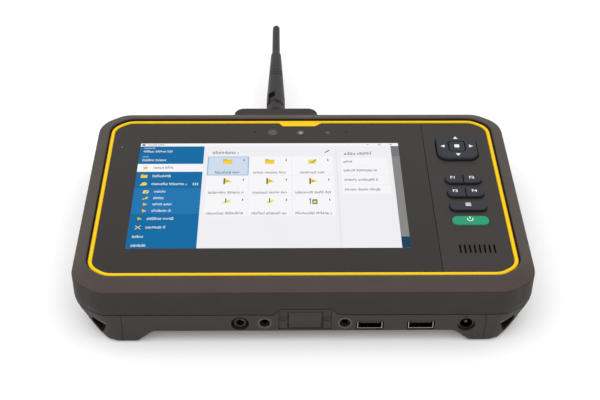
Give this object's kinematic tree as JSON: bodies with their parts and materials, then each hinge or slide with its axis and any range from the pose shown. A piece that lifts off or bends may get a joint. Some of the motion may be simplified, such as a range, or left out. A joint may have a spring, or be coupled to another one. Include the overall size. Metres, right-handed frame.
{
  "type": "data collector",
  "caption": "Rugged tablet field computer for surveying with a wide touch screen, a keypad beside it, sockets along the front edge and a plug-in radio with a folding antenna.",
  "frame": {"origin": "centre of the case, on the flat outer face of the battery pack in the back face", "axes": "+X to the right of the screen, +Y towards the rear edge that carries the radio module and antenna, +Z out of the screen"},
  "size_m": [0.2412, 0.2811, 0.0412],
  "materials": {
    "bumper": "soft-touch moulded elastomer, warm grey",
    "accent": "yellow moulded plastic, satin",
    "cover_glass": "chemically strengthened cover glass with a dark printed border",
    "foam": "black foam and silicone seals",
    "screen": "liquid crystal panel",
    "sheet_steel": "pressed sheet steel",
    "panel": "dark grey keypad panel, matt",
    "silicone": "grey silicone key mat",
    "circuit_board": "glass-fibre circuit board with green resist",
    "keys": "slate grey silicone-coated keys",
    "power_key": "green silicone-coated key",
    "fabric_mesh": "black dust mesh",
    "black_plastic": "black moulded plastic",
    "lens": "black optical modules",
    "clear_plastic": "clear light guides",
    "cast_frame": "die-cast light alloy, as cast",
    "copper": "copper sheet",
    "ceramic": "ceramic patch",
    "housing": "glass-filled moulding, fine texture, warm grey",
    "dark_steel": "blackened steel",
    "rubber_feet": "black rubber",
    "battery": "battery moulding, fine texture, dark grey",
    "cell_foil": "pouch cells",
    "gold_contacts": "gold-plated contacts",
    "latch": "yellow moulded latches",
    "usb_metal": "nickel-plated socket shells",
    "radio": "moulded radio housing, fine texture",
    "antenna": "moulded antenna sleeve"
  },
  "bodies": {
    "case": {"front_bumper": "bumper", "accent_ring": "accent", "display_glass": "cover_glass", "display_gasket": "foam", "lcd_panel": "screen", "backlight_unit": "sheet_steel", "keypad_panel": "panel", "keypad_membrane": "silicone", "keypad_board": "circuit_board", "dpad_bracket": "sheet_steel", "speaker_mesh": "fabric_mesh", "speaker": "black_plastic", "front_camera": "lens", "light_sensor": "lens", "status_leds": "clear_plastic", "microphones": "black_plastic", "mid_frame": "cast_frame", "mainboard": "circuit_board", "shield_cans": "sheet_steel", "heat_spreader": "copper", "gnss_antenna": "ceramic", "housing_gasket": "foam", "rear_housing": "housing", "left_end_cap": "housing", "right_end_cap": "housing", "strap_bars": "dark_steel", "foot_pads": "rubber_feet", "housing_screws": "dark_steel", "battery_case": "battery", "battery_cells": "cell_foil", "battery_contacts": "gold_contacts", "rear_camera": "lens", "camera_flash": "clear_plastic", "round_jack": "black_plastic", "headset_jack": "black_plastic", "aux_jack": "black_plastic", "service_port_plate": "housing", "service_port_cover": "housing", "service_port_screws": "dark_steel", "left_usb_port": "usb_metal", "right_usb_port": "usb_metal", "power_jack": "black_plastic", "radio_case": "radio", "radio_cover": "radio", "radio_board": "circuit_board", "radio_connector": "gold_contacts"},
    "dpad_pivot_ring": {"dpad_pivot_ring": "sheet_steel"},
    "dpad_key": {"dpad_key": "keys"},
    "enter_key": {"enter_key": "keys"},
    "f1_key": {"f1_key": "keys"},
    "f2_key": {"f2_key": "keys"},
    "f3_key": {"f3_key": "keys"},
    "f4_key": {"f4_key": "keys"},
    "menu_key": {"menu_key": "keys"},
    "power_key": {"power_key": "power_key"},
    "left_battery_latch": {"left_battery_latch": "latch"},
    "right_battery_latch": {"right_battery_latch": "latch"},
    "antenna_base": {"antenna_base": "antenna", "antenna_pin": "dark_steel"},
    "antenna_whip": {"antenna_whip": "antenna"}
  },
  "joints": [
    {"name": "dpad_tip_up_down", "type": "hinge", "parent": "case", "child": "dpad_pivot_ring", "pos_m": [0.0909, 0.0412, 0.0286], "axis": [1, 0, 0], "range_deg": [-2.5, 2.5], "stiffness_Nm_per_rad": 0.35},
    {"name": "dpad_tip_left_right", "type": "hinge", "parent": "dpad_pivot_ring", "child": "dpad_key", "pos_m": [0.0909, 0.0412, 0.0286], "axis": [0, 1, 0], "range_deg": [-2.5, 2.5], "stiffness_Nm_per_rad": 0.35},
    {"name": "enter_press", "type": "slide", "parent": "case", "child": "enter_key", "axis": [0, 0, -1], "range_m": [0, 0.0006], "stiffness_N_per_m": 900, "springref_m": -0.0004},
    {"name": "f1_press", "type": "slide", "parent": "case", "child": "f1_key", "axis": [0, 0, -1], "range_m": [0, 0.0007], "stiffness_N_per_m": 900, "springref_m": -0.0004},
    {"name": "f2_press", "type": "slide", "parent": "case", "child": "f2_key", "axis": [0, 0, -1], "range_m": [0, 0.0007], "stiffness_N_per_m": 900, "springref_m": -0.0004},
    {"name": "f3_press", "type": "slide", "parent": "case", "child": "f3_key", "axis": [0, 0, -1], "range_m": [0, 0.0007], "stiffness_N_per_m": 900, "springref_m": -0.0004},
    {"name": "f4_press", "type": "slide", "parent": "case", "child": "f4_key", "axis": [0, 0, -1], "range_m": [0, 0.0007], "stiffness_N_per_m": 900, "springref_m": -0.0004},
    {"name": "menu_press", "type": "slide", "parent": "case", "child": "menu_key", "axis": [0, 0, -1], "range_m": [0, 0.0007], "stiffness_N_per_m": 900, "springref_m": -0.0004},
    {"name": "power_press", "type": "slide", "parent": "case", "child": "power_key", "axis": [0, 0, -1], "range_m": [0, 0.0007], "stiffness_N_per_m": 900, "springref_m": -0.0004},
    {"name": "left_latch_slide", "type": "slide", "parent": "case", "child": "left_battery_latch", "axis": [-1, 0, 0], "range_m": [0, 0.006]},
    {"name": "right_latch_slide", "type": "slide", "parent": "case", "child": "right_battery_latch", "axis": [1, 0, 0], "range_m": [0, 0.006]},
    {"name": "antenna_swivel", "type": "hinge", "parent": "case", "child": "antenna_base", "pos_m": [-0.0152, 0.0964, 0.0182], "axis": [0, 1, 0], "range_deg": [-90, 90]},
    {"name": "antenna_fold", "type": "hinge", "parent": "antenna_base", "child": "antenna_whip", "pos_m": [-0.0152, 0.1095, 0.0182], "axis": [0.8746, 0, 0.4848], "range_deg": [0, 90]}
  ]
}
